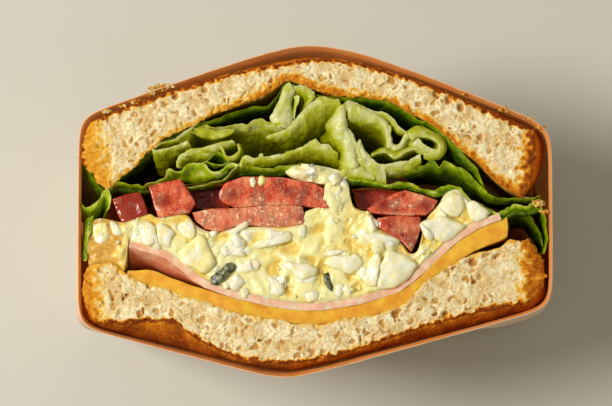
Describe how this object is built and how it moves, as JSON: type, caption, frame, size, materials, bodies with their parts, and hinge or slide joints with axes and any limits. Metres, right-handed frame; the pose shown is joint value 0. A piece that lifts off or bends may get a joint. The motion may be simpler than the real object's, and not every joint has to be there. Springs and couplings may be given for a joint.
{
  "type": "egg sandwich",
  "caption": "Half of a toast sandwich in a paper wrap, cut face up: lettuce, tomato and egg salad on ham and cheese between two thick slices of bread.",
  "frame": {"origin": "on the table, under the centre of the bounding box", "axes": "+X along the slices of bread, +Y from the lower slice to the upper one, +Z out of the cut face"},
  "size_m": [0.1225, 0.0823, 0.0615],
  "materials": {
    "wrap_paper": "matte",
    "toast": "porous crumb, browned at the crust",
    "cheese": "satin",
    "ham": "moist satin",
    "egg_salad": "moist and lumpy",
    "tomato": "wet",
    "lettuce_green": "waxy",
    "lettuce_pale": "waxy"
  },
  "bodies": {
    "root": {"paper_wrap": "wrap_paper", "bread_upper": "toast", "bread_lower": "toast", "cheese": "cheese", "ham": "ham", "egg_salad": "egg_salad", "tomato_left_end": "tomato", "tomato_left": "tomato", "tomato_middle": "tomato", "tomato_lower": "tomato", "tomato_right": "tomato", "tomato_right_low": "tomato", "leaf_outer": "lettuce_green", "leaf_frill": "lettuce_green", "leaf_right": "lettuce_green", "leaf_lower_left": "lettuce_green", "leaf_lower_right": "lettuce_green", "leaf_end_left": "lettuce_green", "leaf_end_right": "lettuce_green", "leaf_wide": "lettuce_pale", "leaf_inner": "lettuce_pale", "leaf_fold": "lettuce_pale", "leaf_curl": "lettuce_pale", "leaf_core_tip": "lettuce_pale", "leaf_core_blade": "lettuce_pale", "leaf_wedge": "lettuce_pale", "leaf_rib": "lettuce_pale", "leaf_ring": "lettuce_pale", "leaf_loop": "lettuce_pale", "leaf_band": "lettuce_pale"}
  },
  "joints": []
}
